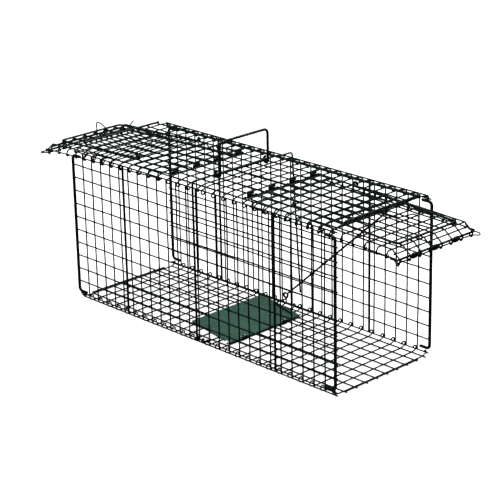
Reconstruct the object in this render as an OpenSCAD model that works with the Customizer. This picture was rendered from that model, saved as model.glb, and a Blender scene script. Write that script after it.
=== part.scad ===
// Live catch trap: a folding two-door cage of welded wire mesh with a treadle pan.
// X runs along the cage, Y across it, Z up. The origin is on the ground under the middle.

/* [Mesh] */
// Pitch of the square mesh
cell = 25.4; // [20:0.1:30]
// Diameter of the mesh wire
wire_d = 2.0; // [1.6:0.1:2.2]
// Hairline between wires that are welded or laid on each other
weld_gap = 0.02; // [0.01:0.01:0.05]

/* [Cage] */
// Length in cells
cells_long = 26; // [26:2:30]
// Width in cells
cells_wide = 9; // [9:2:11]
// Height in cells
cells_high = 11; // [11:1:13]
// Depth of the floor tray below the side hinges
floor_depth = 6; // [5:0.5:8]
// Height of the roof tray above the side hinges
roof_depth = 7; // [7:0.5:9]
// Slope at which tray wires rise to their hinge loops, in degrees
tray_rise = 22; // [18:1:26]
// Play between a loop and the wire that it turns on
loop_play = 0.4; // [0.3:0.05:0.5]

/* [Stiffeners] */
// Diameter of the rods at the ends of the sides
end_rod_d = 5.6; // [5:0.1:6]
// Diameter of the rods between the ends
mid_rod_d = 4.2; // [4:0.1:4.5]
// Diameter of the bars across floor and roof ends
cross_bar_d = 4; // [3.5:0.1:4.5]

/* [Locks] */
// Diameter of the near lock strut
near_strut_d = 4; // [3.6:0.1:4.2]
// Diameter of the far lock strut
far_strut_d = 3.4; // [3:0.1:3.4]
// Height of the strut hooks over the side hinges
hook_rise = 12.5; // [12.5:0.1:14]
// Tilt of the far strut, in degrees
far_strut_tilt = 3.7; // [0:0.1:5]

/* [Handle] */
// Diameter of the handle wire
handle_d = 4.5; // [4:0.1:5]
// Diameter of the bar that the handle turns on
handle_base_d = 5; // [4.5:0.1:5.5]
// Half the distance between the handle legs
handle_half = 58; // [56:0.5:60]
// Height of the handle above its bar
handle_h = 58; // [50:1:70]

/* [Doors] */
// Length of a door in cells, from hinge to lip
door_cells = 13.55; // [13:0.05:13.7]
// Depth of the lip bar below the door's plane
lip_depth = 12; // [11:0.5:13]
// Slope of the lip, in degrees
lip_angle = 36; // [34:1:38]
// Height of the lip bar over the wire with the ears
ear_drop = 5; // [4:0.5:6]
// Half the width between the side hems
hem_half = 95.25; // [92:0.25:96]
// Diameter of the side hem wires
hem_d = 2.5; // [2:0.1:3]
// Diameter of the bar along the lip
lip_bar_d = 4; // [3.5:0.1:4.5]
// Diameter of the lock bails
bail_d = 4; // [3.6:0.1:4]
// Length of a bail leg in cells
bail_cells = 8.85; // [8:0.05:8.9]
// Angle that a set door hangs below level, in degrees
droop = 2; // [0:0.1:2.5]
// Angle that a bail hangs below level on it, in degrees
bail_droop = 2.85; // [0:0.05:3.6]

/* [Trigger] */
// Length of the pan
pan_l = 97; // [80:1:100]
// Half the width of the pan
pan_half = 89; // [80:1:90]
// Thickness of the pan sheet
pan_t = 1.2; // [1:0.1:1.5]
// Tilt of the pan when set, in degrees
pan_tilt = 8.1; // [7:0.1:9]
// Diameter of the trigger rod
rod_d = 3.2; // [3:0.1:3.2]
// Slope of the trigger rod, in degrees
rod_slope = 41.6; // [40:0.1:42]

/* [Hidden] */
$fn = 20;
green = [0.09, 0.16, 0.13];
sheet_green = [0.25, 0.37, 0.32];
metal = [0.16, 0.17, 0.17];
wire_r = wire_d / 2;
lay = wire_d + weld_gap;
half_l = cells_long / 2 * cell;
half_w = cells_wide / 2 * cell;
floor_z = wire_r + lay;
low_hinge = floor_z + floor_depth;
high_hinge = low_hinge + cells_high * cell;
roof_z = high_hinge + roof_depth;
// Tray wires stand a quarter cell off the wires of the sides, so loops and uprights pass.
quarter = 0.25;
side_stations = [for (i = [1 : cells_long / 2]) i - quarter];
stations = concat([for (s = side_stations) -s], [quarter], side_stations);
flat_rows = [for (i = [0 : cells_wide - 2]) i - (cells_wide - 2) / 2];
tray_half_l = half_l - 1.3;
loop_turn = 280;
eye_turn = 300;
strut_eye_turn = 250;
edge_row_y = half_w - 3.9;
loop_r = wire_r + loop_play + wire_r;
// Angle left between the pieces that make up a rising wire, in degrees.
slit = 0.03;
upright_y = half_w + lay;
end_rod_y = half_w + wire_r + weld_gap + end_rod_d / 2;
mid_rod_y = half_w + wire_r + weld_gap + mid_rod_d / 2;
mid_rod_x = 7.5 * cell;
end_rod_bend = 7;
end_rod_inset = 6.5;
end_rod_arm = 22;
near_strut_x = -5;
near_eye_r = wire_r + loop_play + near_strut_d / 2;
strut_bend = 6;
far_strut_y = upright_y + wire_r + 0.2 + far_strut_d / 2;
handle_x = -4;
handle_z = roof_z + lay + wire_r + weld_gap + handle_base_d / 2;
handle_eye_r = handle_base_d / 2 + loop_play + handle_d / 2;
clip_l = 14;
clip_t = 0.9;
hinge_x = 3.75 * cell;
under_roof = roof_z - loop_r + wire_r - bail_d / 2;
door_pin_d = 2.5;
door_row_z = under_roof - bail_d / 2 - 0.45 - wire_r;
door_z = door_row_z - lay;
lip_x = hinge_x + door_cells * cell;
lip_z = door_z - lip_depth;
lip_top = lip_z + lip_bar_d / 2 + 1.5 * wire_r;
corner_z = door_row_z + 0.25;
corner_x = lip_x + 0.5 - (corner_z - lip_top) / tan(lip_angle);
corner_trim = 0.4;
side_angle = 80;
hem_z = lip_z + lip_bar_d / 2 + weld_gap + hem_d / 2;
ear_z = lip_z - ear_drop;
bail_x = 7.75 * cell;
bail_y = 2.85 * cell;
bail_eye_r = roof_z - under_roof;
set_hook_d = 2.5;
axle_x = 1.75 * cell;
axle_d = 3;
curl_r = axle_d / 2 + 0.15 + pan_t;
axle_z = floor_z + wire_r + curl_r + 0.2;
pan_top = curl_r;
arm_d = 3;
arm_x = -54.5;
arm_z = pan_top + weld_gap + arm_d / 2;
pin_x = axle_x + arm_x * cos(pan_tilt) + arm_z * sin(pan_tilt);
pin_z = axle_z - arm_x * sin(pan_tilt) + arm_z * cos(pan_tilt);
rod_ring_r = 4;
guide_r = rod_d / 2 + 1.5;
rod_y = half_w - wire_r - guide_r - wire_r - 0.05;
rod_z = pin_z + arm_d / 2 + 0.4 + rod_d / 2 + rod_ring_r;
rod_top_z = 250;
finger_end = hem_half + hem_d / 2 + 0.8;

function unit(v) = v / norm(v);
function turn(p, i) = acos(unit(p[i] - p[i - 1]) * unit(p[i + 1] - p[i]));
function trim(p, i, r) = i == 0 || i == len(p) - 1 ? 0 : r * tan(turn(p, i) / 2);
function aside(u) = abs(u[2]) < 0.9 ? [0, 0, 1] : [1, 0, 0];

// Places its child with local X, Y and Z along the three given directions.
module placed(at, x, y, z) {
    rows = [for (i = [0 : 2]) [x[i], y[i], z[i], at[i]]];
    multmatrix(concat(rows, [[0, 0, 0, 1]])) children();
}

// A straight rod between two points.
module rod(a, b, d) {
    u = unit(b - a);
    x = unit(cross(aside(u), u));
    placed(a, x, cross(u, x), u) cylinder(d = d, h = norm(b - a));
}

// A bent stretch: it starts at direction start from the centre and turns about axis.
module arc(centre, start, axis, angle, r, d) {
    placed(centre, start, cross(axis, start), axis)
        rotate_extrude(angle = angle) translate([r, 0]) circle(d = d);
}

// A wire through the points, with every corner bent to radius r.
module bent_wire(p, d, r) {
    last = len(p) - 1;
    for (i = [0 : last - 1]) {
        u = unit(p[i + 1] - p[i]);
        rod(p[i] + u * trim(p, i, r), p[i + 1] - u * trim(p, i + 1, r), d);
    }
    for (i = [1 : 1 : last - 1]) {
        u = unit(p[i] - p[i - 1]);
        axis = unit(cross(u, p[i + 1] - p[i]));
        inward = cross(axis, u);
        arc(p[i] - u * trim(p, i, r) + inward * r, -inward, axis, turn(p, i), r, d);
    }
}

// Points along a bent wire's centre, with one every 15 degrees round each corner.
function corner_points(p, i, r) = let(
    u = unit(p[i] - p[i - 1]),
    axis = unit(cross(u, p[i + 1] - p[i])),
    inward = cross(axis, u),
    angle = turn(p, i),
    centre = p[i] - u * trim(p, i, r) + inward * r,
    steps = max(2, ceil(angle / 15)))
    [for (k = [0 : steps]) centre + r * (sin(angle * k / steps) * u - cos(angle * k / steps) * inward)];
function centreline(p, r) = [
    p[0],
    for (i = [1 : len(p) - 2]) each corner_points(p, i, r),
    p[len(p) - 1]];

// A wire bent in one plane at slanting angles, swept as one closed tube.
module swept_wire(p, d, r) {
    sides = 10;
    line = centreline(p, r);
    last = len(line) - 1;
    normal = unit(cross(p[1] - p[0], p[2] - p[1]));
    rings = [for (i = [0 : last]) let(
        along = unit(line[min(i + 1, last)] - line[max(i - 1, 0)]),
        side = cross(normal, along))
        for (k = [0 : sides - 1]) let(a = 360 * k / sides)
            line[i] + d / 2 * (cos(a) * side + sin(a) * normal)];
    walls = [for (i = [0 : last - 1]) for (k = [0 : sides - 1]) let(
        a = i * sides + k,
        b = i * sides + (k + 1) % sides)
        each [[b, a, b + sides], [b + sides, a, a + sides]]];
    ends = [[for (k = [0 : sides - 1]) k], [for (k = [sides - 1 : -1 : 0]) last * sides + k]];
    polyhedron(rings, concat(walls, ends));
}

// A flat-sided sleeve round two wires at local y = 0 and y = gap, as a profile.
module sleeve_profile(r_a, r_b, gap, t) {
    difference() {
        union() {
            circle(r_a + t);
            translate([0, gap]) circle(r_b + t);
            translate([-min(r_a, r_b) - t, 0]) square([2 * (min(r_a, r_b) + t), gap]);
        }
        circle(r_a);
        translate([0, gap]) circle(r_b);
        translate([-min(r_a, r_b) + 0.05, 0]) square([2 * min(r_a, r_b) - 0.1, gap]);
    }
}

// A sleeve of the given length along Y, round a lower and an upper wire.
module sleeve(x, y, z_low, r_low, r_high, gap, t, length) {
    translate([x, y + length / 2, z_low]) rotate([90, 0, 0])
        linear_extrude(length) sleeve_profile(r_low, r_high, gap, t);
}

// Rising end of a tray wire in the plane X = 0: a curve, then a loop round the hinge at height depth.
module tray_end(depth, flat, bend_r) {
    low = [0, sin(tray_rise), -cos(tray_rise)];
    arc([0, flat, bend_r], [0, 0, -1], [1, 0, 0], tray_rise - slit, bend_r, wire_d);
    arc([0, half_w, depth], low, [1, 0, 0], loop_turn - tray_rise, loop_r, wire_d);
}

// A mesh tray, open side up, with its crossing wires' axes at z = 0.
module tray(depth) {
    bend_r = (depth - loop_r * cos(tray_rise)) / (1 - cos(tray_rise));
    flat = half_w + (loop_r - bend_r) * sin(tray_rise);
    for (s = stations) translate([s * cell, 0, 0]) {
        rod([0, weld_gap - flat, 0], [0, flat - weld_gap, 0], wire_d);
        tray_end(depth, flat, bend_r);
        mirror([0, 1, 0]) tray_end(depth, flat, bend_r);
    }
    for (row = flat_rows) tray_row(row * cell, -lay);
    for (side = [-1, 1]) tray_row(side * edge_row_y, depth / 3 - lay - wire_r / 2);
}

module tray_row(y, z) {
    rod([-tray_half_l, y, z], [tray_half_l, y, z], wire_d);
}

module cross_bar(side, z) {
    y = 3.6 * cell;
    x = side * (tray_half_l - cross_bar_d / 2);
    rod([x, -y, z], [x, y, z], cross_bar_d);
}

module floor_mesh() {
    color(green) translate([0, 0, floor_z]) tray(floor_depth);
}

module floor_bar(side) {
    color(green) cross_bar(side, floor_z - lay + wire_r + weld_gap + cross_bar_d / 2);
}

module roof_mesh() {
    color(green) translate([0, 0, roof_z]) mirror([0, 0, 1]) tray(roof_depth);
}

module roof_bar(side) {
    color(green) cross_bar(side, roof_z + lay + wire_r + weld_gap + cross_bar_d / 2);
}

// A flat side panel; its bottom and top rows are the hinge wires.
module side_mesh(side) {
    color(green) {
        for (k = [0 : cells_high]) {
            z = low_hinge + k * cell;
            rod([-half_l - 2, side * half_w, z], [half_l + 2, side * half_w, z], wire_d);
        }
        for (i = [1 - cells_long / 2 : cells_long / 2 - 1]) translate([i * cell, side * upright_y, 0])
            rod([0, 0, low_hinge - 1.5], [0, 0, high_hinge + 1.5], wire_d);
    }
}

// The end rod of a side, with both ends turned in along the panel.
module end_rod(side, x_side) {
    x = x_side * half_l;
    y = side * end_rod_y;
    low = low_hinge + end_rod_inset;
    high = high_hinge - end_rod_inset;
    color(green)
        bent_wire([[x - x_side * end_rod_arm, y, low], [x, y, low], [x, y, high],
            [x - x_side * end_rod_arm, y, high]], end_rod_d, end_rod_bend);
}

module mid_rod(side, x_side) {
    x = x_side * mid_rod_x;
    y = side * mid_rod_y;
    color(green) rod([x, y, low_hinge - 2], [x, y, high_hinge + 2], mid_rod_d);
}

// Stands on the near hinge wire and hooks over the roof.
module near_lock_strut() {
    x = near_strut_x;
    y = -half_w - near_eye_r;
    top = high_hinge + hook_rise;
    color(green) {
        arc([x, -half_w, low_hinge], [0, -1, 0], [1, 0, 0], strut_eye_turn, near_eye_r, near_strut_d);
        bent_wire([[x, y, low_hinge], [x, y, top], [x, -3 * cell, top]], near_strut_d, strut_bend);
    }
}

// Hangs outside the far side from its hook over the roof.
module far_lock_strut() {
    top = high_hinge + hook_rise;
    drop = top - low_hinge - cell;
    color(green) translate([0, 0, top]) rotate([0, -far_strut_tilt, 0])
        bent_wire([[0, 3.4 * cell, 0], [0, far_strut_y, 0], [0, far_strut_y, -drop]],
            far_strut_d, strut_bend);
}

module handle_bar() {
    y = handle_half + 8;
    color(green) rod([handle_x, -y, handle_z], [handle_x, y, handle_z], handle_base_d);
}

module carry_handle() {
    x = handle_x + handle_eye_r;
    top = handle_z + handle_h;
    color(green) {
        bent_wire([[x, -handle_half, handle_z], [x, -handle_half, top], [x, handle_half, top],
            [x, handle_half, handle_z]], handle_d, 10);
        for (y = [-handle_half, handle_half])
            arc([handle_x, y, handle_z], [1, 0, 0], [0, 1, 0], eye_turn, handle_eye_r, handle_d);
    }
}

// Four sleeves that hang a door's pin from a roof wire.
module door_clips(side) {
    color(metal) for (y = [-3, -1, 1, 3])
        sleeve(side * hinge_x, y * cell, door_z, door_pin_d / 2 + 0.35, wire_r + 0.05, roof_z - door_z,
            clip_t, clip_l);
}

// Door parts are drawn for the right door, and mirrored for the left.
module door_mesh() {
    down = [cos(lip_angle), 0, -sin(lip_angle)];
    lip_run = (corner_z - lip_top) / sin(lip_angle);
    under = (lay + 0.1) * [sin(lip_angle), 0, cos(lip_angle)];
    hook_x = lip_x + lip_bar_d / 2 + wire_r + 0.1;
    for (k = [1 : 12]) translate([hinge_x + k * cell, 0, door_z]) door_crossing();
    translate([corner_x - 3.5, 0, door_z]) door_crossing();
    for (row = flat_rows) translate([0, row * cell, 0]) {
        rod([hinge_x - 1.5, 0, corner_z], [corner_x - corner_trim, 0, corner_z], wire_d);
        rod([corner_x, 0, corner_z] + corner_trim * down, [corner_x, 0, corner_z] + lip_run * down, wire_d);
        rod([hook_x, 0, lip_z + 1.5], [hook_x, 0, ear_z - hem_d / 2], wire_d);
    }
    mid = [corner_x, 0, corner_z] + lip_run / 2 * down - under;
    rod(mid - [0, hem_half - 4, 0], mid + [0, hem_half - 4, 0], wire_d);
}

// One crossing wire of a door, with both its ends turned down to the side hems.
module door_crossing() {
    down = [0, cos(side_angle), -sin(side_angle)];
    corner_y = hem_half - (door_z - hem_z) / tan(side_angle);
    drop = (door_z - hem_z) / sin(side_angle) - hem_d / 2 - weld_gap;
    rod([0, -corner_y, 0], [0, corner_y, 0], wire_d);
    for (side = [0, 1]) mirror([0, side, 0])
        rod([0, corner_y, 0] + (wire_r + 0.05) * down, [0, corner_y, 0] + drop * down, wire_d);
}

module door_pin() {
    y = 3.6 * cell;
    rod([hinge_x, -y, door_z], [hinge_x, y, door_z], door_pin_d);
}

module door_hem() {
    for (y = [-hem_half, hem_half])
        rod([hinge_x + 0.6 * cell, y, hem_z], [lip_x + lip_bar_d / 2, y, hem_z], hem_d);
}

module door_bar() {
    rod([lip_x, -hem_half - 2, lip_z], [lip_x, hem_half + 2, lip_z], lip_bar_d);
}

module door_ferrules() {
    for (y = [-2, 0, 2])
        sleeve(lip_x, y * cell, ear_z, hem_d / 2 + 0.05, lip_bar_d / 2 + 0.05, lip_z - ear_z, clip_t, 9);
}

// The wire under the lip bar, drawn out to a pointed ear at both corners.
module door_ears() {
    point = hem_half + 10.5;
    swept_wire([[lip_x - 13, hem_half, ear_z], [lip_x + 17, point, ear_z], [lip_x, 90, ear_z],
        [lip_x, -90, ear_z], [lip_x + 17, -point, ear_z], [lip_x - 13, -hem_half, ear_z]], hem_d, 2.2);
}

// Turns on a roof wire and rests across the door.
module lock_bail() {
    x = bail_x + bail_cells * cell;
    bent_wire([[bail_x, -bail_y, under_roof], [x, -bail_y, under_roof], [x, bail_y, under_roof],
        [bail_x, bail_y, under_roof]], bail_d, 8);
    for (side = [-1, 1])
        arc([bail_x, side * bail_y, roof_z], [0, 0, -1], [0, 1, 0], eye_turn, bail_eye_r, bail_d);
}

// Slides under the roof and arches over to hold the door's last crossing wire.
module set_hook() {
    tip_x = hinge_x + 12 * cell + wire_r + set_hook_d / 2 + 0.5;
    peak = under_roof + 13;
    foot_z = door_z - 12 * cell * sin(droop) - 2;
    swept_wire([[0.6 * cell, 0, under_roof], [14.2 * cell, 0, under_roof], [tip_x - 12, 0, peak],
        [tip_x, 0, peak], [tip_x, 0, foot_z]], set_hook_d, 4);
}

module set_hook_guides() {
    ring_d = 1.5;
    color(green) for (s = [-9.75, -1.75, 1.75, 9.75])
        arc([s * cell + wire_r + weld_gap + ring_d / 2, 0, under_roof], [0, 1, 0], [1, 0, 0], 360,
            set_hook_d / 2 + 0.35 + ring_d / 2, ring_d);
}

// Turns its child down about a crosswise line at X and Z.
module hung(x, z, angle) {
    translate([x, 0, z]) rotate([0, angle, 0]) translate([-x, 0, -z]) children();
}

module on_door() {
    hung(hinge_x, door_z, droop) children();
}

module mirrored_if(left) {
    if (left) mirror([1, 0, 0]) children();
    else children();
}

module trigger_rod() {
    u = [cos(rod_slope), 0, sin(rod_slope)];
    ring = [pin_x, rod_y, rod_z];
    top = ring + u * (rod_top_z - rod_z) / sin(rod_slope);
    start = ring + u * (rod_ring_r + rod_d / 2 + weld_gap);
    color(green) {
        arc(ring, -u, [0, 1, 0], 360, rod_ring_r, rod_d);
        swept_wire([start, top, [top[0], finger_end, top[2]]], rod_d, 5);
    }
}

// Rings on the far side that carry the trigger rod.
module rod_guides() {
    u = [cos(rod_slope), 0, sin(rod_slope)];
    color(green) for (row = [3, 7]) {
        z = low_hinge + row * cell;
        arc([pin_x + (z - rod_z) / tan(rod_slope), rod_y, z], [0, 1, 0], u, 360, guide_r, wire_d);
    }
}

// Lays its child in the pan's own frame, on the axle.
module on_axle() {
    translate([axle_x, 0, axle_z]) rotate([0, pan_tilt, 0]) children();
}

module trigger_pan() {
    skirt = 2.5;
    color(sheet_green) on_axle() difference() {
        union() {
            rotate([90, 0, 0]) linear_extrude(2 * pan_half, center = true) {
                difference() {
                    circle(curl_r);
                    circle(curl_r - pan_t);
                }
                translate([-pan_l, pan_top - pan_t]) square([pan_l, pan_t]);
                translate([-pan_l, pan_top - skirt]) square([pan_t, skirt]);
            }
            for (y = [-pan_half, pan_half - pan_t])
                translate([-pan_l, y, pan_top - skirt]) cube([pan_l - 8, pan_t, skirt]);
        }
        for (y = [-2 * cell, 2 * cell])
            translate([-5, y - 8, -5]) cube([12, 16, 12]);
    }
}

module pan_axle() {
    color(green) on_axle() rod([0, -pan_half - 4, 0], [0, pan_half + 4, 0], axle_d);
}

// Wire on the pan whose end reaches under the ring of the trigger rod.
module pan_arm() {
    color(green) on_axle()
        swept_wire([[-8, 76, arm_z], [arm_x, 80, arm_z], [arm_x, rod_y + 2.5, arm_z]], arm_d, 5);
}

module pan_clips() {
    color(metal) for (y = [-2, 2])
        sleeve(axle_x, y * cell, floor_z, wire_r + 0.05, axle_d / 2 + 0.35, axle_z - floor_z, clip_t, 12);
}

floor_mesh();
floor_bar(-1);  // floor_bar_left
floor_bar(1);  // floor_bar_right
pan_clips();
side_mesh(-1);  // near_side_mesh
end_rod(-1, -1);  // near_end_rod_left
end_rod(-1, 1);  // near_end_rod_right
mid_rod(-1, -1);  // near_mid_rod_left
mid_rod(-1, 1);  // near_mid_rod_right
side_mesh(1);  // far_side_mesh
end_rod(1, -1);  // far_end_rod_left
end_rod(1, 1);  // far_end_rod_right
mid_rod(1, -1);  // far_mid_rod_left
mid_rod(1, 1);  // far_mid_rod_right
near_lock_strut();
far_lock_strut();
rod_guides();
roof_mesh();
roof_bar(-1);  // roof_bar_left
roof_bar(1);  // roof_bar_right
handle_bar();
carry_handle();
set_hook_guides();
door_clips(-1);  // left_door_clips
door_clips(1);  // right_door_clips
for (side = ["left", "right"]) mirrored_if(side == "left") {
    color(green) on_door() door_mesh();
    color(green) door_pin();
    color(green) on_door() door_hem();
    color(green) on_door() door_bar();
    color(metal) on_door() door_ferrules();
    color(green) on_door() door_ears();
    color(green) hung(bail_x, roof_z, bail_droop) lock_bail();
    color(green) set_hook();
}
trigger_pan();
pan_axle();
pan_arm();
trigger_rod();
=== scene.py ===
"""Looks of the live catch trap: every wire is swept with its real bends, hooks and welds.

Shapes are drawn in millimetres in the row's frame and turned into metres when a piece is made.
"""

import math
import random

import bmesh
import bpy
from mathutils import Matrix, Vector, noise


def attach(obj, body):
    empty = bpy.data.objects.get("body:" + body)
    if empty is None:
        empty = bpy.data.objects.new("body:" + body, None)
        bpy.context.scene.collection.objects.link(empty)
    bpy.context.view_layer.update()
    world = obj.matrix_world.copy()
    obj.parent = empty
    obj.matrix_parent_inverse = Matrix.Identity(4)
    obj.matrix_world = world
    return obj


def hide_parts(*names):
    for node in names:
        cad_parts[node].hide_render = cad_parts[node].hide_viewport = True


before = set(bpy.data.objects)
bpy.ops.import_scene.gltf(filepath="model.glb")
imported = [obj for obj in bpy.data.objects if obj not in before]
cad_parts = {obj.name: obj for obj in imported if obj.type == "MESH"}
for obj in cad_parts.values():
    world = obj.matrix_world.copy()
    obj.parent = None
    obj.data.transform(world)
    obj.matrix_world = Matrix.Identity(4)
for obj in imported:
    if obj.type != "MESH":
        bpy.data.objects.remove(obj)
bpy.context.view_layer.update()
dice = random.Random(7)
noise.seed_set(7)

MM = 0.001
X = Vector((1, 0, 0))
Y = Vector((0, 1, 0))
Z = Vector((0, 0, 1))

# Gaps between wires, from touching to free to turn
SNUG = 0.05
TIGHT = 0.1
SLACK = 0.2
LOOSE = 0.35
PLAY = 0.4

# Mesh and cage. WIRE is the wire's radius in the part's source, COATED the one drawn here, and
# LAY the distance between two layers of wires welded on each other there.
CELL = 25.4
WIRE = 1.0
LAY = 2.02
COATED = 1.35
SUNK = LAY - COATED + WIRE
HALF_L = 13 * CELL
HALF_W = 4.5 * CELL
ROWS_HIGH = 11
LAST_UPRIGHT = 12
FLOOR_Z = WIRE + LAY
FLOOR_DEPTH = 6
LOW = FLOOR_Z + FLOOR_DEPTH
HIGH = LOW + ROWS_HIGH * CELL
ROOF_DEPTH = 7
ROOF_Z = HIGH + ROOF_DEPTH
RISE = 22
LOOP = 2 * COATED + SLACK
OPEN_LOOP = 4.2
STRUT_STATION = 0.25
OUTWARD = [i - 0.25 for i in range(1, 14)]
STATIONS = sorted([-i for i in OUTWARD] + [STRUT_STATION] + OUTWARD)
FLAT_ROWS = [i - 3.5 for i in range(8)]
TRAY_HALF_L = HALF_L - 1.3
EDGE_ROW_Y = HALF_W - 3.9
CROSS_HALF = 3.6 * CELL

# Rods, struts and handle
END_ROD = 2.8
END_ROD_ARM = 22
END_ROD_INSET = 6.5
MID_ROD = 2.1
MID_ROD_X = 7.5 * CELL
BAR = 2.0
NEAR_STRUT = 2.0
FAR_STRUT = 1.7
FAR_STRUT_LEAN = math.radians(-3.7)
STRUT_X = -5
STRUT_BEND = 6
HANDLE = 2.4
HANDLE_BAR = 2.5
COATED_BAR = 2.8
HANDLE_X = -4
HANDLE_HALF = 58
HANDLE_TOP = 58
HANDLE_Z = ROOF_Z + LAY + WIRE + HANDLE_BAR
HOOK_Z = HIGH + 12.5

# Weld nuggets, in radii of the mesh wire
END_WELD = 1.4
BAR_WELD = 1.3
HANDLE_WELD = 1.6
GUIDE_WELD = 1.2

# Doors, drawn on the right and mirrored for the left
EYE_R = 1.4 + BAR
UNDER_ROOF = ROOF_Z - EYE_R
HINGE_X = 3.75 * CELL
DOOR_ROW_Z = UNDER_ROOF - BAR - PLAY - WIRE
DOOR_Z = UNDER_ROOF - BAR - PLAY - SNUG - WIRE - LAY
PIN = 1.25
LIP_X = HINGE_X + 13.55 * CELL
LIP_DEPTH = 12
LIP_Z = DOOR_Z - LIP_DEPTH
LIP_CORNER_X = LIP_X - 14.3
LIP_BEND = 2.4
HEM_Z = LIP_Z + BAR + 1.27
HEM_Y = 95.25
EAR_Z = LIP_Z - 5
EAR_END_Z = HEM_Z - 2.4
EAR_SIDE_Y = HEM_Y + 0.6
EAR_START_Y = 90
BAIL_X = 7.75 * CELL
BAIL_Y = 2.85 * CELL
BAIL_END = BAIL_X + 8.85 * CELL
LIP_TOP = LIP_Z + BAR + COATED + TIGHT
SET_HOOK = 1.25
CLIP_T = 0.9
DROOP = math.radians(2)
BAIL_DROOP = math.radians(2.85)

# Trigger
AXLE_X = 1.75 * CELL
AXLE_Z = FLOOR_Z + 4.05
AXLE = 1.5
PAN_TILT = math.radians(8.1)
PAN_L = 97
PAN_HALF = 89
PAN_T = 1.2
PAN_TOP = AXLE + 0.15 + PAN_T
PAN_FOLD = 1.4
PAN_SKIRT = 2.6
CLIP_Y = 2 * CELL
CLIP_NOTCH = 6.5
ARM_X = -54.5
ARM_Z = PAN_TOP + 0.02 + AXLE
ROD = 1.6
COATED_ROD = 1.2 * ROD
ROD_RING = 4
ROD_SLOPE = math.radians(41.6)
ROD_TOP = 250
ROD_GUIDE = ROD + 1.5
ROD_Y = HALF_W - WIRE - ROD_GUIDE - WIRE - SNUG


class Shape:
    """Vertices and faces of one piece, in millimetres."""

    def __init__(self):
        self.verts = []
        self.faces = []

    def add(self, verts, faces):
        base = len(self.verts)
        self.verts.extend(verts)
        self.faces.extend([base + i for i in face] for face in faces)

    def mirrored(self):
        """The same shape on the other side of the plane X = 0."""
        other = Shape()
        other.add([Vector((-v.x, v.y, v.z)) for v in self.verts], [face[::-1] for face in self.faces])
        return other

    def turned(self, matrix):
        self.verts = [matrix @ v for v in self.verts]
        return self


def arc(centre, start, axis, degrees, radius, step=15, shift=Vector((0, 0, 0))):
    """Points round a centre, from direction start, turning about axis; shift makes it a helix."""
    count = max(2, math.ceil(abs(degrees) / step))
    across = axis.cross(start)
    points = []
    for k in range(count + 1):
        a = math.radians(degrees) * k / count
        spoke = math.cos(a) * start + math.sin(a) * across
        points.append(Vector(centre) + radius * spoke + shift * (k / count))
    return points


# A corner of less than this many radians is left as it is
STRAIGHT = 0.02


def bent(points, radius, step=12):
    """A line through the points with each corner bent to the radius."""
    points = [Vector(p) for p in points]
    line = [points[0]]
    for before, corner, after in zip(points, points[1:], points[2:]):
        u = (corner - before).normalized()
        v = (after - corner).normalized()
        angle = u.angle(v)
        if angle < STRAIGHT:
            line.append(corner)
            continue
        inward = u.cross(v).normalized().cross(u)
        centre = corner - u * radius * math.tan(angle / 2) + inward * radius
        count = max(2, math.ceil(math.degrees(angle) / step))
        for k in range(count + 1):
            a = angle * k / count
            line.append(centre + radius * (math.sin(a) * u - math.cos(a) * inward))
    line.append(points[-1])
    return line


def stepped(line, step):
    """The same line with points added wherever a straight stretch is longer than step."""
    result = [Vector(line[0])]
    for a, b in zip(line, line[1:]):
        a = Vector(a)
        b = Vector(b)
        count = max(1, round((b - a).length / step))
        result.extend(a.lerp(b, k / count) for k in range(1, count + 1))
    return result


def tube(shape, line, radius, sides=12, closed=False):
    """Sweeps a round wire along the line, with its cut ends rounded over."""
    line = [Vector(p) for p in line]
    last = len(line) - 1
    rings = []
    for i, point in enumerate(line):
        before = line[i - 1] if closed else line[max(i - 1, 0)]
        after = line[(i + 1) % len(line)] if closed else line[min(i + 1, last)]
        rings.append((point, (after - before).normalized(), 1.0))
    if not closed:
        start, along, _ = rings[0]
        end, onward, _ = rings[-1]
        # Where the rounded end's rings lie and how wide they are, as shares of the radius
        rim = [(0.0, 0.45), (0.12, 0.75), (0.45, 0.96)]
        full = 0.9
        rings[0] = (start + along * radius * full, along, 1.0)
        rings[-1] = (end - onward * radius * full, onward, 1.0)
        rings = [(start + along * radius * t, along, share) for t, share in rim] + rings
        rings += [(end - onward * radius * t, onward, share) for t, share in reversed(rim)]
    side = rings[0][1].orthogonal().normalized()
    verts = []
    for point, along, share in rings:
        side = (side - side.dot(along) * along).normalized()
        up = along.cross(side)
        for k in range(sides):
            a = math.tau * k / sides
            verts.append(point + radius * share * (math.cos(a) * side + math.sin(a) * up))
    count = len(rings)
    faces = []
    for i in range(count if closed else count - 1):
        here = i * sides
        there = (i + 1) % count * sides
        for k in range(sides):
            n = (k + 1) % sides
            faces.append([here + k, here + n, there + n, there + k])
    if not closed:
        faces.append(list(range(sides))[::-1])
        faces.append([(count - 1) * sides + k for k in range(sides)])
    shape.add(verts, faces)


def weld(shape, at, normal, radius=COATED):
    """The small squashed nugget of coated metal where two wires are welded."""
    at = Vector(at)
    normal = Vector(normal).normalized()
    side = normal.orthogonal().normalized()
    across = normal.cross(side)
    size = radius * dice.uniform(1.15, 1.4)
    height = radius * 0.62
    belt = 0.7
    sides = 8
    verts = [at - normal * height]
    for level in (-belt, 0.0, belt):
        spread = size * math.sqrt(1 - level * level)
        for k in range(sides):
            a = math.tau * k / sides
            spoke = math.cos(a) * side + math.sin(a) * across
            verts.append(at + normal * height * level + spread * spoke)
    verts.append(at + normal * height)
    faces = [[0, 1 + (k + 1) % sides, 1 + k] for k in range(sides)]
    for ring in (0, 1):
        low = 1 + ring * sides
        high = low + sides
        for k in range(sides):
            n = (k + 1) % sides
            faces.append([low + k, low + n, high + n, high + k])
    top = len(verts) - 1
    faces += [[top, top - sides + k, top - sides + (k + 1) % sides] for k in range(sides)]
    shape.add(verts, faces)


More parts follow.
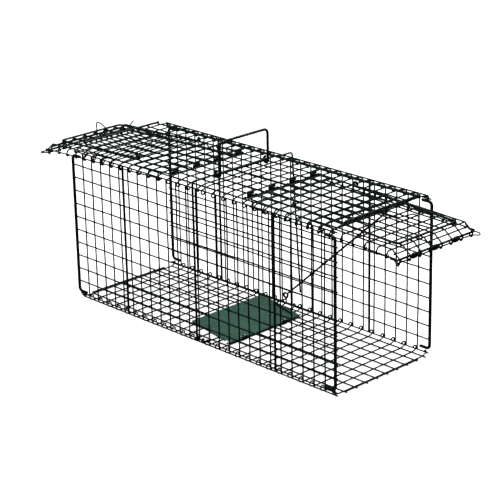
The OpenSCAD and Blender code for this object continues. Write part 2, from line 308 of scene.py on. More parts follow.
def ribbon(shape, line, binormal, width, thick):
    """Sweeps a strip with rounded edges along a line in one plane; binormal is across the strip."""
    line = [Vector(p) for p in line]
    soft = thick * 0.3
    half = width / 2
    section = [(half, -thick / 2 + soft), (half, thick / 2 - soft), (half - soft, thick / 2),
               (-half + soft, thick / 2), (-half, thick / 2 - soft), (-half, -thick / 2 + soft),
               (-half + soft, -thick / 2), (half - soft, -thick / 2)]
    verts = []
    for i, point in enumerate(line):
        along = (line[min(i + 1, len(line) - 1)] - line[max(i - 1, 0)]).normalized()
        out = along.cross(binormal)
        verts.extend(point + binormal * a + out * b for a, b in section)
    sides = len(section)
    faces = []
    for i in range(len(line) - 1):
        for k in range(sides):
            n = (k + 1) % sides
            faces.append([i * sides + k, i * sides + n, (i + 1) * sides + n, (i + 1) * sides + k])
    faces.append(list(range(sides))[::-1])
    faces.append([(len(line) - 1) * sides + k for k in range(sides)])
    shape.add(verts, faces)


def sleeve(shape, x, y, low, r_low, high, r_high, width):
    """A strip bent round a lower and an upper wire that run along Y, its ends meeting at a seam."""
    bottom = r_low + CLIP_T / 2
    top = r_high + CLIP_T / 2
    seam = (low + high) / 2
    half_gap = 0.4
    line = [Vector((x + bottom, y, seam - half_gap))]
    line += arc((x, y, low), X, Y, 180, bottom, step=20)
    line += arc((x, y, high), -X, Y, 180, top, step=20)
    line.append(Vector((x + top, y, seam + half_gap)))
    ribbon(shape, line, Y, width, CLIP_T)


# ---------------------------------------------------------------- materials


def node_tree(name, coat, specular, metallic=0.0):
    """A new material with its shader, and small helpers to add and join nodes."""
    material = bpy.data.materials.new(name)
    material.use_nodes = True
    tree = material.node_tree
    shader = tree.nodes["Principled BSDF"]
    shader.inputs["Metallic"].default_value = metallic
    shader.inputs["Coat Weight"].default_value = coat
    shader.inputs["Coat Roughness"].default_value = 0.18
    shader.inputs["Specular IOR Level"].default_value = specular
    return material, tree, shader


def add_noise(tree, place, scale, detail=3.0, stretch=None):
    source = place
    if stretch:
        mapping = tree.nodes.new("ShaderNodeMapping")
        mapping.inputs["Scale"].default_value = stretch
        tree.links.new(place, mapping.inputs["Vector"])
        source = mapping.outputs["Vector"]
    texture = tree.nodes.new("ShaderNodeTexNoise")
    texture.inputs["Scale"].default_value = scale
    texture.inputs["Detail"].default_value = detail
    tree.links.new(source, texture.inputs["Vector"])
    return texture.outputs["Fac"]


def add_ramp(tree, factor, low, low_colour, high, high_colour):
    ramp = tree.nodes.new("ShaderNodeValToRGB")
    ramp.color_ramp.elements[0].position = low
    ramp.color_ramp.elements[0].color = (*low_colour, 1)
    ramp.color_ramp.elements[1].position = high
    ramp.color_ramp.elements[1].color = (*high_colour, 1)
    tree.links.new(factor, ramp.inputs["Fac"])
    return ramp.outputs["Color"]


def add_mix(tree, factor, first, second):
    mix = tree.nodes.new("ShaderNodeMix")
    mix.data_type = "RGBA"
    tree.links.new(factor, mix.inputs["Factor"])
    tree.links.new(first, mix.inputs["A"])
    tree.links.new(second, mix.inputs["B"])
    return mix.outputs["Result"]


def add_bump(tree, shader, heights):
    """Stacks bumps of (height, strength, distance) on the shader."""
    normal = None
    for height, strength, distance in heights:
        bump = tree.nodes.new("ShaderNodeBump")
        bump.inputs["Strength"].default_value = strength
        bump.inputs["Distance"].default_value = distance
        tree.links.new(height, bump.inputs["Height"])
        if normal:
            tree.links.new(normal, bump.inputs["Normal"])
        normal = bump.outputs["Normal"]
    tree.links.new(normal, shader.inputs["Normal"])


def object_place(tree):
    """The object's own coordinates, so that a look doesn't depend on the view."""
    return tree.nodes.new("ShaderNodeTexCoord").outputs["Object"]


def grey(value):
    return (value, value, value)


def coated_wire():
    """Dark green powder coat on wire: orange peel, thin and thick patches, rare worn specks."""
    material, tree, shader = node_tree("green_powder_coat_wire", coat=0.2, specular=0.3)
    place = object_place(tree)
    clouds = add_noise(tree, place, 38, 4)
    patches = add_ramp(tree, clouds, 0.35, (0.003, 0.016, 0.011), 0.68, (0.007, 0.036, 0.024))
    specks = add_ramp(tree, add_noise(tree, place, 420, 2), 0.70, grey(0), 0.76, grey(1))
    grit = add_noise(tree, place, 900, 1)
    bare = add_ramp(tree, grit, 0.3, (0.05, 0.075, 0.06), 0.7, (0.11, 0.13, 0.115))
    tree.links.new(add_mix(tree, specks, patches, bare), shader.inputs["Base Color"])
    gloss = add_ramp(tree, add_noise(tree, place, 160, 3), 0.3, grey(0.26), 0.75, grey(0.44))
    tree.links.new(gloss, shader.inputs["Roughness"])
    peel = add_noise(tree, place, 1500, 2)
    waves = add_noise(tree, place, 260, 3)
    add_bump(tree, shader, [(peel, 0.25, 0.0002), (waves, 0.3, 0.0004)])
    return material


def coated_sheet():
    """The pan's satin green coat, with faint rubbed lines and dust."""
    material, tree, shader = node_tree("green_powder_coat_sheet", coat=0.15, specular=0.4)
    place = object_place(tree)
    clouds = add_noise(tree, place, 22, 5)
    cloud = add_ramp(tree, clouds, 0.3, (0.080, 0.205, 0.150), 0.72, (0.114, 0.262, 0.196))
    strokes = add_noise(tree, place, 60, 4, (1.0, 14.0, 1.0))
    rubbed = add_ramp(tree, strokes, 0.6, grey(0), 0.78, grey(0.5))
    dust = add_noise(tree, place, 300, 2)
    pale = add_ramp(tree, dust, 0.3, (0.138, 0.292, 0.226), 0.7, (0.178, 0.342, 0.274))
    tree.links.new(add_mix(tree, rubbed, cloud, pale), shader.inputs["Base Color"])
    gloss = add_ramp(tree, add_noise(tree, place, 90, 4), 0.3, grey(0.24), 0.75, grey(0.4))
    tree.links.new(gloss, shader.inputs["Roughness"])
    peel = add_noise(tree, place, 1300, 2)
    dents = add_noise(tree, place, 30, 2)
    add_bump(tree, shader, [(peel, 0.25, 0.0002), (dents, 0.2, 0.002)])
    return material


def clip_metal():
    """Dark zinc clips: dull metal under a thin film of the same coat."""
    material, tree, shader = node_tree("dark_clip_steel", coat=0.1, specular=0.3, metallic=0.55)
    place = object_place(tree)
    patches = add_noise(tree, place, 120, 4)
    film = add_ramp(tree, patches, 0.35, (0.012, 0.018, 0.016), 0.7, (0.035, 0.045, 0.04))
    tree.links.new(film, shader.inputs["Base Color"])
    strokes = add_noise(tree, place, 240, 3, (1.0, 8.0, 1.0))
    gloss = add_ramp(tree, strokes, 0.3, grey(0.32), 0.75, grey(0.55))
    tree.links.new(gloss, shader.inputs["Roughness"])
    add_bump(tree, shader, [(add_noise(tree, place, 700, 2), 0.2, 0.0002)])
    return material


LOOKS = {"green_wire": coated_wire(), "green_sheet": coated_sheet(), "clip_steel": clip_metal()}


def make(shape, node, body, slot="green_wire", sharp=None):
    """Turns a shape into a piece that stands for a CAD node and rides on its body."""
    mesh = bpy.data.meshes.new("coated_" + node)
    mesh.from_pydata([v * MM for v in shape.verts], [], shape.faces)
    mesh.validate()
    mesh.polygons.foreach_set("use_smooth", [True] * len(mesh.polygons))
    if sharp:
        mesh.set_sharp_from_angle(angle=math.radians(sharp))
    mesh.materials.append(LOOKS[slot])
    piece = bpy.data.objects.new("coated_" + node, mesh)
    bpy.context.scene.collection.objects.link(piece)
    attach(piece, body)
    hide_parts(node)


# ---------------------------------------------------------------- panels


def swayed(line, seed, amount, keep):
    """The line moved by a welded panel's slight unevenness; keep(p) is 0 where it must not move."""
    broad = 0.012
    narrow = 0.05
    narrow_share = 0.35
    result = []
    for p in line:
        move = noise.noise_vector(p * broad + Vector((seed, seed * 0.37, 0)))
        fine = noise.noise_vector(p * narrow + Vector((seed * 1.7, 3, 0)))
        share = keep(p)
        shift = [(m + narrow_share * f) * a * k for m, f, a, k in zip(move, fine, amount, share)]
        result.append(p + Vector(shift))
    return result


def rising(depth, reach, radius):
    """Radius and start of the bend by which a tray wire rises to a loop at that depth and reach."""
    slope = math.radians(RISE)
    bend = (depth - radius * math.cos(slope)) / (1 - math.cos(slope))
    return bend, reach + (radius - bend) * math.sin(slope)


def tray(z, depth, up, seed):
    """A floor or roof mesh whose crossing wires bend to the side hinges and hook round them."""
    shape = Shape()
    slope = math.radians(RISE)
    base = Vector((0, 0, z))
    out, lift = (1.4, 0.3) if up > 0 else (0.9, 1.3)
    bend, flat = rising(depth + lift, HALF_W + out, OPEN_LOOP)
    held = HALF_W - 4

    def keep(p):
        free = 1 if abs(p.y) < flat else max(0.0, (held - abs(p.y)) / (held - flat))
        return (1, free, free)

    amount = (0.9, 0.5, 0.0 if up > 0 else 0.4)
    for station in STATIONS:
        x = station * CELL
        tight = abs(station) > LAST_UPRIGHT or station == STRUT_STATION
        radius = LOOP if tight else OPEN_LOOP
        rise, reach = (depth, HALF_W) if tight else (depth + lift, HALF_W + out)
        start_bend, start = rising(rise, reach, radius)
        ends = []
        for side in (-1, 1):
            axis = side * up * X
            curve = arc((x, side * start, up * start_bend), -up * Z, axis, RISE, start_bend, step=4)
            low = Vector((0, side * math.sin(slope), -up * math.cos(slope)))
            turn = dice.uniform(246, 262)
            drift = Vector((dice.uniform(-0.5, 0.5), 0, 0))
            hook = arc((x, side * reach, up * rise), low, axis, turn, radius, step=18, shift=drift)
            ends.append(curve + hook[1:])
        line = ends[0][::-1] + stepped([ends[0][0], ends[1][0]], CELL / 2)[1:-1] + ends[1]
        tube(shape, swayed([p + base for p in line], seed, amount, keep), COATED)
    rows = [(row * CELL, -up * SUNK) for row in FLAT_ROWS]
    inner_side = 0.96
    lean = math.asin((EDGE_ROW_Y - flat) / bend) * inner_side
    edge_z = up * (bend * (1 - math.cos(lean)) - SUNK * math.cos(lean))
    rows += [(side * EDGE_ROW_Y, edge_z) for side in (-1, 1)]
    for y, drop in rows:
        line = stepped([(-TRAY_HALF_L, y, z + drop), (TRAY_HALF_L, y, z + drop)], CELL / 2)
        tube(shape, swayed(line, seed, amount, keep), COATED)
        for station in STATIONS:
            middle = Vector((station * CELL, y, z + drop + up * SUNK / 2))
            weld(shape, swayed([middle], seed, amount, keep)[0], Z)
    return shape


def side_panel(side, seed):
    """A side's mesh: long rows, the lowest and highest being hinge wires, and uprights outside them."""
    shape = Shape()
    amount = (0.9, 0.5, 0.9)

    def keep(p):
        edge = min(1.0, (p.z - LOW) / CELL, (HIGH - p.z) / CELL)
        return (1, max(0.0, edge), max(0.0, edge))

    out = Vector((0, side * SUNK, 0))
    uprights = range(-LAST_UPRIGHT, LAST_UPRIGHT + 1)
    for k in range(ROWS_HIGH + 1):
        z = LOW + k * CELL
        reach = HALF_L + 2
        line = stepped([(-reach, side * HALF_W, z), (reach, side * HALF_W, z)], CELL / 2)
        tube(shape, swayed(line, seed, amount, keep), COATED)
        for i in uprights:
            middle = Vector((i * CELL, side * HALF_W, z)) + out / 2
            weld(shape, swayed([middle], seed, amount, keep)[0], Y)
    stub = 1.5
    for i in uprights:
        line = stepped([Vector((i * CELL, side * HALF_W, LOW - stub)) + out,
                        Vector((i * CELL, side * HALF_W, HIGH + stub)) + out], CELL / 2)
        tube(shape, swayed(line, seed, amount, keep), COATED)
    return shape


def end_rod(side, way):
    """The end rod of a side, with both ends turned in and welded to the rows."""
    shape = Shape()
    x = way * HALF_L
    y = side * (HALF_W + WIRE + END_ROD)
    low = LOW + END_ROD_INSET
    high = HIGH - END_ROD_INSET
    inner = x - way * END_ROD_ARM
    line = bent([(inner, y, low), (x, y, low), (x, y, high), (inner, y, high)], radius=7, step=9)
    tube(shape, stepped(line, step=12), END_ROD, sides=18)
    for k in range(1, ROWS_HIGH):
        weld(shape, (x, side * (HALF_W + WIRE), LOW + k * CELL), Y, WIRE * END_WELD)
    return shape


def mid_rod(side, way):
    """A straight rod welded over the uprights of a side."""
    shape = Shape()
    x = way * MID_ROD_X
    y = side * (HALF_W + WIRE + MID_ROD)
    stub = 2
    tube(shape, stepped([(x, y, LOW - stub), (x, y, HIGH + stub)], step=20), MID_ROD, sides=16)
    for k in range(ROWS_HIGH + 1):
        weld(shape, (x, side * (HALF_W + WIRE), LOW + k * CELL), Y, WIRE * BAR_WELD)
    return shape


def cross_bar(way, z, weld_z):
    """The bar across an end of the floor or the roof, welded to its long rows."""
    shape = Shape()
    x = way * (TRAY_HALF_L - BAR)
    tube(shape, stepped([(x, -CROSS_HALF, z), (x, CROSS_HALF, z)], step=15), BAR, sides=16)
    for row in FLAT_ROWS:
        weld(shape, (x, row * CELL, weld_z), Z, WIRE * BAR_WELD)
    return shape


# ---------------------------------------------------------------- struts and handle


def near_strut():
    """Its eye winds once round the near hinge wire, and its top hooks over the roof."""
    shape = Shape()
    radius = WIRE + PLAY + NEAR_STRUT
    y = -HALF_W - radius
    pitch = Vector((-4.4, 0, 0))
    eye = arc((STRUT_X, -HALF_W, LOW), -Y, X, 265, radius, shift=pitch)
    corners = [(STRUT_X, y, LOW), (STRUT_X, y, HOOK_Z), (STRUT_X, -3 * CELL, HOOK_Z)]
    hook = bent(corners, STRUT_BEND, step=9)
    tube(shape, eye[::-1] + stepped(hook, step=20)[1:], NEAR_STRUT, sides=16)
    return shape


def far_strut():
    """Drawn with its hook over the roof at the origin, then leaned a little and put in place."""
    shape = Shape()
    y = HALF_W + LOOP + COATED + SLACK + FAR_STRUT
    drop = HOOK_Z - LOW - CELL
    line = bent([(0, 3.4 * CELL, 0), (0, y, 0), (0, y, -drop)], STRUT_BEND, step=9)
    tube(shape, stepped(line, step=20), FAR_STRUT, sides=16)
    tilt = Matrix.Rotation(FAR_STRUT_LEAN, 4, "Y")
    return shape.turned(Matrix.Translation((0, 0, HOOK_Z)) @ tilt)


def handle_base():
    """The bar on the roof that the handle turns on."""
    shape = Shape()
    y = HANDLE_HALF + 8
    line = stepped([(HANDLE_X, -y, HANDLE_Z), (HANDLE_X, y, HANDLE_Z)], step=12)
    tube(shape, line, COATED_BAR, sides=18)
    for row in FLAT_ROWS[1:-1]:
        weld(shape, (HANDLE_X, row * CELL, HANDLE_Z - HANDLE_BAR), Z, WIRE * HANDLE_WELD)
    return shape


def handle():
    """One wire: an eye round the bar, a leg, the grip, and back."""
    shape = Shape()
    gap = 0.3
    radius = COATED_BAR + gap + HANDLE
    x = HANDLE_X + radius
    top = HANDLE_Z + HANDLE_TOP - 0.15
    eyes = [arc((HANDLE_X, side * HANDLE_HALF, HANDLE_Z), X, Y, 265, radius, shift=Vector((0, side, 0)))
            for side in (-1, 1)]
    grip = bent([(x, -HANDLE_HALF, HANDLE_Z), (x, -HANDLE_HALF, top), (x, HANDLE_HALF, top),
                 (x, HANDLE_HALF, HANDLE_Z)], radius=9, step=8)
    line = eyes[0][::-1] + stepped(grip, step=10)[1:-1] + eyes[1]
    tube(shape, line, HANDLE, sides=18)
    return shape


# ---------------------------------------------------------------- doors


def door_mesh(seed):
    """Rows that wind round the hinge pin, bend at the lip and hook under the ear wire, and crossing
    wires that curl round the hems."""
    shape = Shape()
    amount = (0.0, 0.9, 0.15)
    held = HINGE_X + 4
    on_lip = 0.25

    def keep(p):
        flat = p.z > DOOR_Z - 1
        free = min(1.0, max(0.0, (p.x - held) / CELL), 1.0 if flat else on_lip)
        return (1, free, free if flat else 0.0)

    pin_turn = DOOR_ROW_Z - DOOR_Z
    wrap = arc((HINGE_X, 0, DOOR_Z), Z, -Y, 215, pin_turn, step=18)
    reach = PIN + COATED + SNUG
    outer = LIP_X + BAR + COATED + TIGHT
    hook = arc((LIP_X, 0, EAR_Z), X, Y, 205, reach, step=18)
    corners = [(HINGE_X, 0, DOOR_ROW_Z), (LIP_CORNER_X, 0, DOOR_ROW_Z), (LIP_X, 0, LIP_TOP),
               (outer, 0, LIP_TOP - LIP_BEND), hook[0] + Vector((0, 0, TIGHT))]
    for row in FLAT_ROWS:
        rise = Vector((0, row * CELL, 0))
        line = wrap[::-1] + stepped(bent(corners, LIP_BEND), CELL / 2)[1:-1] + hook
        tube(shape, swayed([p + rise for p in line], seed, amount, keep), COATED)
    corner_y = HEM_Y - 1.5
    out_y = HEM_Y + reach
    last = LIP_CORNER_X - 3.3
    for x in [HINGE_X + k * CELL for k in range(1, 13)] + [last]:
        curls = [arc((0, side * HEM_Y, HEM_Z), side * Y, -side * X, dice.uniform(170, 215), reach, step=18)
                 for side in (-1, 1)]
        corners = [Vector((0, -out_y, HEM_Z + 1)), Vector((0, -corner_y, DOOR_Z)),
                   Vector((0, corner_y, DOOR_Z)), Vector((0, out_y, HEM_Z + 1))]
        line = curls[0][::-1] + stepped(bent(corners, LIP_BEND), CELL / 2) + curls[1]
        tube(shape, swayed([p + Vector((x, 0, 0)) for p in line], seed, amount, keep), COATED)
        for row in FLAT_ROWS:
            middle = Vector((x, row * CELL, (DOOR_ROW_Z + DOOR_Z) / 2))
            weld(shape, swayed([middle], seed, amount, keep)[0], Z)
    middle_x = (LIP_CORNER_X + LIP_X) / 2 - 1.1
    middle_z = (DOOR_ROW_Z + LIP_TOP) / 2 - 1.5
    end_y = HEM_Y - 4
    line = stepped([(middle_x, -end_y, middle_z), (middle_x, end_y, middle_z)], CELL / 2)
    tube(shape, line, COATED)
    for row in FLAT_ROWS:
        weld(shape, (middle_x + 0.5, row * CELL, middle_z + 0.8), (1, 0, 2))
    return shape


def door_pin():
    shape = Shape()
    line = stepped([(HINGE_X, -CROSS_HALF, DOOR_Z), (HINGE_X, CROSS_HALF, DOOR_Z)], step=12)
    tube(shape, line, PIN)
    return shape


def door_hems():
    shape = Shape()
    start = HINGE_X + 0.6 * CELL
    end = LIP_X + BAR
    for side in (-1, 1):
        line = stepped([(start, side * HEM_Y, HEM_Z), (end, side * HEM_Y, HEM_Z)], CELL / 2)
        tube(shape, line, PIN)
    return shape


def door_bar():
    shape = Shape()
    y = HEM_Y + 2
    tube(shape, stepped([(LIP_X, -y, LIP_Z), (LIP_X, y, LIP_Z)], step=12), BAR, sides=16)
    return shape


def door_ferrules():
    """Sleeves that hold the ear wire under the lip bar."""
    shape = Shape()
    for row in (-2, 0, 2):
        sleeve(shape, LIP_X, row * CELL, EAR_Z, PIN + SNUG, LIP_Z, BAR + SNUG, width=9)
    return shape


def door_ears(straight_far_end):
    """The wire under the lip bar, drawn out to a pointed ear at each end of it. On the left door the
    far end runs straight out."""
    shape = Shape()
    tip_x = LIP_X + 17
    tip_y = HEM_Y + 10.5
    side_x = LIP_X - 3
    end_x = LIP_X - 12
    near = [(end_x, -EAR_SIDE_Y, EAR_END_Z), (side_x, -EAR_SIDE_Y, EAR_END_Z), (tip_x, -tip_y, EAR_Z),
            (LIP_X, -EAR_START_Y, EAR_Z)]
    far = [(x, -y, z) for x, y, z in reversed(near)]
    if straight_far_end:
        far = [far[0], (LIP_X, HEM_Y + 4.5, EAR_Z + 0.6), (LIP_X - 4, HEM_Y + 24, EAR_Z + 19)]
    tube(shape, stepped(bent(near + far, radius=2.2), step=15), PIN)
    return shape


def hung(x, z, angle):
    """A turn down by the angle about a crosswise line at X and Z."""
    there = Matrix.Translation((x, 0, z))
    return there @ Matrix.Rotation(angle, 4, "Y") @ Matrix.Translation((-x, 0, -z))


def door_clips():
    """Sleeves that hold the hinge pin under a wire of the roof."""
    shape = Shape()
    for row in (-3, -1, 1, 3):
        sleeve(shape, HINGE_X, row * CELL, DOOR_Z, PIN + LOOSE, ROOF_Z, COATED + SNUG, width=14)
    return shape


def lock_bail():
    """One wire: an eye round a wire of the roof, a leg, the end that rests on the door, and back."""
    shape = Shape()
    eyes = [arc((BAIL_X, side * BAIL_Y, ROOF_Z), -Z, Y, 330, EYE_R, shift=Vector((0, side * 4.2, 0)))
            for side in (-1, 1)]
    corners = [(BAIL_X, -BAIL_Y, UNDER_ROOF), (BAIL_END, -BAIL_Y, UNDER_ROOF),
               (BAIL_END, BAIL_Y, UNDER_ROOF), (BAIL_X, BAIL_Y, UNDER_ROOF)]
    legs = bent(corners, radius=8, step=9)
    tube(shape, eyes[0][::-1] + stepped(legs, step=18)[1:-1] + eyes[1], BAR, sides=16)
    return shape


def set_hook():
    """The long wire under the roof whose foot holds the door's last crossing wire when the trap is set."""
    shape = Shape()
    last_row = 12 * CELL
    tip = HINGE_X + last_row + WIRE + SET_HOOK + 0.5
    peak = UNDER_ROOF + 13
    foot = DOOR_Z - last_row * math.sin(DROOP) - 2
    corners = [(0.6 * CELL, 0, UNDER_ROOF), (14.2 * CELL, 0, UNDER_ROOF), (tip - 12, 0, peak),
               (tip, 0, peak), (tip, 0, foot)]
    tube(shape, stepped(bent(corners, radius=4), step=15), SET_HOOK)
    return shape


def set_hook_guides():
    """Rings welded under crossing wires of the roof, which the set hooks slide in."""
    shape = Shape()
    ring = 0.75
    radius = SET_HOOK + LOOSE + ring
    for station in (-9.75, -1.75, 1.75, 9.75):
        centre = Vector((station * CELL + WIRE + ring, 0, UNDER_ROOF))
        tube(shape, arc(centre, Y, X, 360, radius)[:-1], ring, sides=10, closed=True)
        weld(shape, centre + Vector((-ring, 0, 2.2)), X)
    return shape


# ---------------------------------------------------------------- trigger


def on_axle(shape):
    """Moves a shape drawn in the pan's own frame to its place on the tilted pan."""
    return shape.turned(Matrix.Translation((AXLE_X, 0, AXLE_Z)) @ Matrix.Rotation(PAN_TILT, 4, "Y"))


def pan():
    """One sheet: curled round the axle, flat, turned down along its other edges, corners relieved."""
    middle = PAN_TOP - PAN_T / 2
    curl_start = Vector((-0.5, 0, -0.866))
    curl = arc((0, 0, 0), curl_start, -Y, 240, middle, step=12)
    far_edge = PAN_L - PAN_FOLD - PAN_T / 2
    lip = arc((-far_edge, 0, middle - PAN_FOLD), Z, -Y, 90, PAN_FOLD, step=18)
    profile = [(p.x, p.z, "curl") for p in curl]
    profile += [(-k, middle, "plate") for k in (3, 8, 14, 22, 30, 40, 50, 60, 70, 80, 88, far_edge)]
    profile += [(p.x, p.z, "lip") for p in lip[1:]]
    profile.append((profile[-1][0], middle - PAN_SKIRT, "lip"))
    edge = PAN_HALF - PAN_T / 2 - PAN_FOLD
    notch_low = CLIP_Y - CLIP_NOTCH
    notch_high = CLIP_Y + CLIP_NOTCH
    lines = (0, 8, 16, 24, 32, 40, notch_low, CLIP_Y, notch_high, 62, 70, 78, 84, edge)
    across = [(y, 0.0, "plate") for y in lines]
    roll = arc((0, edge, -PAN_FOLD), Z, -X, 90, PAN_FOLD, step=18)
    across += [(p.y, p.z, "skirt") for p in roll[1:]]
    across.append((edge + PAN_FOLD, -PAN_SKIRT, "skirt"))
    across = [(-y, z, kind) for y, z, kind in reversed(across[1:])] + across
    mesh = bmesh.new()
    grid = []
    dent_depth = 0.22
    dent_scale = 0.03
    for x, z, zone in profile:
        line = []
        for y, drop, _ in across:
            spot = Vector((x * dent_scale, y * dent_scale, 0))
            dent = dent_depth * noise.noise(spot) if zone == "plate" else 0.0
            line.append(mesh.verts.new(Vector((x, y, z + drop + dent)) * MM))
        grid.append(line)
    relief = -8
    for i in range(len(profile) - 1):
        for j in range(len(across) - 1):
            zones = {profile[i][2], profile[i + 1][2]}
            turned = "skirt" in (across[j][2], across[j + 1][2])
            y = abs(across[j][0] + across[j + 1][0]) / 2
            at_clip = notch_low < y < notch_high and "curl" in zones
            relieved = turned and (zones & {"curl", "lip"} or profile[i][0] > relief)
            if at_clip or relieved:
                continue
            mesh.faces.new([grid[i][j], grid[i + 1][j], grid[i + 1][j + 1], grid[i][j + 1]])
    loose = [v for v in mesh.verts if not v.link_faces]
    bmesh.ops.delete(mesh, geom=loose, context="VERTS")
    bmesh.ops.recalc_face_normals(mesh, faces=mesh.faces)
    mesh.transform(Matrix.Translation((AXLE_X * MM, 0, AXLE_Z * MM)) @ Matrix.Rotation(PAN_TILT, 4, "Y"))
    data = bpy.data.meshes.new("coated_trigger_pan")
    mesh.to_mesh(data)
    mesh.free()
    data.polygons.foreach_set("use_smooth", [True] * len(data.polygons))
    data.materials.append(LOOKS["green_sheet"])
    piece = bpy.data.objects.new("coated_trigger_pan", data)
    bpy.context.scene.collection.objects.link(piece)
    solid = piece.modifiers.new("sheet", "SOLIDIFY")
    solid.thickness = PAN_T * MM
    solid.offset = 0
    soft = piece.modifiers.new("edges", "BEVEL")
    soft.width = 0.3 * MM
    soft.segments = 2
    soft.limit_method = "ANGLE"
    soft.angle_limit = math.radians(50)
    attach(piece, "pan")
    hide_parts("trigger_pan")


def pan_axle():
    shape = Shape()
    y = PAN_HALF + 4
    tube(shape, stepped([(0, -y, 0), (0, y, 0)], step=12), AXLE, sides=14)
    return on_axle(shape)


def pan_arm():
    """The wire welded on the pan, whose far end is the pin that lifts the trigger rod."""
    shape = Shape()
    line = bent([(-8, 76, ARM_Z), (ARM_X, 80, ARM_Z), (ARM_X, ROD_Y + 2.5, ARM_Z)], radius=5)
    tube(shape, stepped(line, step=10), AXLE, sides=14)
    slant = 0.09
    for x in (-14, -30, -46):
        weld(shape, (x, 77.5 - (x + 30) * slant, PAN_TOP), Z, AXLE)
    return on_axle(shape)


def pan_clips():
    """Sleeves that hold the pan's axle over a crossing wire of the floor."""
    shape = Shape()
    for y in (-CLIP_Y, CLIP_Y):
        sleeve(shape, AXLE_X, y, FLOOR_Z, COATED + SNUG, AXLE_Z, AXLE + LOOSE, width=12)
    return shape


def rod_line():
    """Ring centre and direction of the trigger rod, from the pin of the pan arm."""
    pin_x = AXLE_X + ARM_X * math.cos(PAN_TILT) + ARM_Z * math.sin(PAN_TILT)
    pin_z = AXLE_Z - ARM_X * math.sin(PAN_TILT) + ARM_Z * math.cos(PAN_TILT)
    ring = Vector((pin_x, ROD_Y, pin_z + AXLE + PLAY + ROD + ROD_RING))
    return ring, Vector((math.cos(ROD_SLOPE), 0, math.sin(ROD_SLOPE)))


def trigger_rod():
    """Its ring, the neck that joins the ring to the shaft, the shaft and the finger at the top."""
    shape = Shape()
    ring, along = rod_line()
    top = ring + along * (ROD_TOP - ring.z) / math.sin(ROD_SLOPE)
    finger_y = HEM_Y + PIN + 0.8
    eye = arc(ring, along, Y, 338, ROD_RING + 0.6, step=12, shift=Vector((0, -1.2, 0)))
    start = ring + along * (ROD_RING + 5)
    neck = bent([eye[2], ring + along * (ROD_RING + 0.8), start], radius=1.2)
    shaft = bent([start, top, Vector((top.x, finger_y, top.z))], radius=5)
    tube(shape, eye[:0:-1] + neck[1:-1] + stepped(shaft, step=25)[1:], COATED_ROD, sides=16)
    return shape


def rod_guides():
    """Rings welded on rows of the far side, which the trigger rod slides in."""
    shape = Shape()
    ring, along = rod_line()
    for row in (3, 7):
        z = LOW + row * CELL
        centre = Vector((ring.x + (z - ring.z) / math.tan(ROD_SLOPE), ROD_Y, z))
        tube(shape, arc(centre, Y, along, 360, ROD_GUIDE)[:-1], WIRE, closed=True)
        weld(shape, centre + Vector((0, ROD_GUIDE + WIRE, 0)), Y, WIRE * GUIDE_WELD)
    return shape


# ---------------------------------------------------------------- the pieces on their bodies

CLIP_SHARP = 40
FLOOR_BAR_Z = FLOOR_Z - LAY + WIRE
ROOF_BAR_Z = ROOF_Z + LAY + WIRE
make(tray(FLOOR_Z, FLOOR_DEPTH, 1, 3.0), "floor_mesh", "cage_floor")
make(tray(ROOF_Z, ROOF_DEPTH, -1, 11.0), "roof_mesh", "roof")
make(pan_clips(), "pan_clips", "cage_floor", "clip_steel", CLIP_SHARP)
for way, word in ((-1, "left"), (1, "right")):
    make(cross_bar(way, FLOOR_BAR_Z + BAR, FLOOR_BAR_Z), "floor_bar_" + word, "cage_floor")
    make(cross_bar(way, ROOF_BAR_Z + BAR, ROOF_BAR_Z), "roof_bar_" + word, "roof")
    for side, wall in ((-1, "near"), (1, "far")):
        make(end_rod(side, way), f"{wall}_end_rod_{word}", wall + "_side")
        make(mid_rod(side, way), f"{wall}_mid_rod_{word}", wall + "_side")
make(side_panel(-1, 21.0), "near_side_mesh", "near_side")
make(side_panel(1, 33.0), "far_side_mesh", "far_side")
make(near_strut(), "near_lock_strut", "near_strut")
make(far_strut(), "far_lock_strut", "far_strut")
make(handle_base(), "handle_bar", "roof")
make(handle(), "carry_handle", "handle")
make(set_hook_guides(), "set_hook_guides", "roof")
HANG = hung(HINGE_X, DOOR_Z, DROOP)
BAIL_HANG = hung(BAIL_X, ROOF_Z, BAIL_DROOP)
for word, seed in (("left", 47.0), ("right", 58.0)):
    leaf = [("mesh", door_mesh(seed)), ("hem", door_hems()), ("bar", door_bar()),
            ("ferrules", door_ferrules()), ("ears", door_ears(word == "left"))]
    parts = [("_door_" + name, shape.turned(HANG), "_door") for name, shape in leaf]
    parts.insert(1, ("_door_pin", door_pin(), "_door"))
    parts.append(("_door_clips", door_clips(), ""))
    parts.append(("_lock_bail", lock_bail().turned(BAIL_HANG), "_bail"))
    parts.append(("_set_hook", set_hook(), "_hook"))
    for node, shape, body in parts:
        clip = node in ("_door_ferrules", "_door_clips")
        make(shape.mirrored() if word == "left" else shape, word + node, word + body if body else "roof",
             "clip_steel" if clip else "green_wire", CLIP_SHARP if clip else None)
pan()
make(pan_axle(), "pan_axle", "pan")
make(pan_arm(), "pan_arm", "pan")
make(trigger_rod(), "trigger_rod", "rod")
make(rod_guides(), "rod_guides", "far_side")

# ---------------------------------------------------------------- studio


WHITE = (1, 1, 1, 1)
MIDDLE = Vector((0, 0, 0.15))


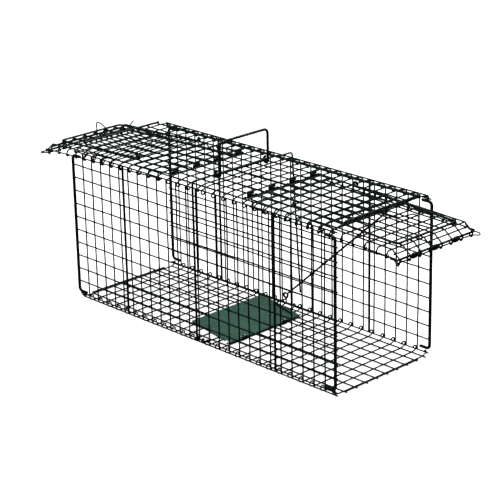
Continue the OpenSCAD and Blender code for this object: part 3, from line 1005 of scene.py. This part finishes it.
def staged_mesh(name, verts, faces):
    """A white surface that glows, and that the object neither mirrors nor is lit by."""
    mesh = bpy.data.meshes.new(name)
    mesh.from_pydata(verts, [], faces)
    material = bpy.data.materials.new(name)
    material.use_nodes = True
    shader = material.node_tree.nodes["Principled BSDF"]
    shader.inputs["Base Color"].default_value = WHITE
    shader.inputs["Roughness"].default_value = 0.9
    shader.inputs["Emission Color"].default_value = WHITE
    shader.inputs["Emission Strength"].default_value = 1.0
    mesh.materials.append(material)
    stage = bpy.data.objects.new(name, mesh)
    bpy.context.scene.collection.objects.link(stage)
    stage.visible_glossy = False
    stage.visible_diffuse = False
    stage.visible_transmission = False
    stage.visible_shadow = False


def area_light(name, place, size, power):
    """A round lamp that faces the middle of the cage."""
    light = bpy.data.lights.new(name, "AREA")
    light.shape = "DISK"
    light.size = size
    light.energy = power
    lamp = bpy.data.objects.new(name, light)
    lamp.location = place
    lamp.rotation_euler = (MIDDLE - Vector(place)).to_track_quat("-Z", "Y").to_euler()
    bpy.context.scene.collection.objects.link(lamp)


FLOOR_HALF = 6.0
STAGE_Z = -0.0005
floor_corners = [(x * FLOOR_HALF, y * FLOOR_HALF, STAGE_Z) for x, y in ((-1, -1), (1, -1), (1, 1), (-1, 1))]
staged_mesh("studio_floor", floor_corners, [[0, 1, 2, 3]])

BACK = 9.0
room_corners = [(x, y, z) for z in (-BACK, BACK) for y in (-BACK, BACK) for x in (-BACK, BACK)]
room_faces = [[0, 1, 3, 2], [4, 6, 7, 5], [0, 4, 5, 1], [2, 3, 7, 6], [0, 2, 6, 4], [1, 5, 7, 3]]
staged_mesh("studio_backdrop", room_corners, room_faces)

world = bpy.data.worlds.new("studio")
world.use_nodes = True
background = world.node_tree.nodes["Background"]
background.inputs["Color"].default_value = WHITE
background.inputs["Strength"].default_value = 0.05
scene = bpy.context.scene
scene.world = world
scene.view_settings.view_transform = "Standard"
area_light("key", (-1.0, -2.2, 2.6), size=1.6, power=16)
area_light("top", (0.3, 0.9, 2.4), size=1.4, power=44)

# Camera at the photograph's angle, distance and framing
AZIMUTH = math.radians(46.2)
ELEVATION = math.radians(20.07)
ROLL = math.radians(-1.15)
camera_data = bpy.data.cameras.new("camera")
camera_data.sensor_width = 36
camera_data.lens = 130.5
camera = bpy.data.objects.new("camera", camera_data)
turn = Matrix.Rotation(AZIMUTH, 4, "Z") @ Matrix.Rotation(math.pi / 2 - ELEVATION, 4, "X")
camera.matrix_world = Matrix.Translation((2.192, -2.091, 1.253)) @ turn @ Matrix.Rotation(ROLL, 4, "Z")
scene.collection.objects.link(camera)
scene.camera = camera

bpy.context.view_layer.update()
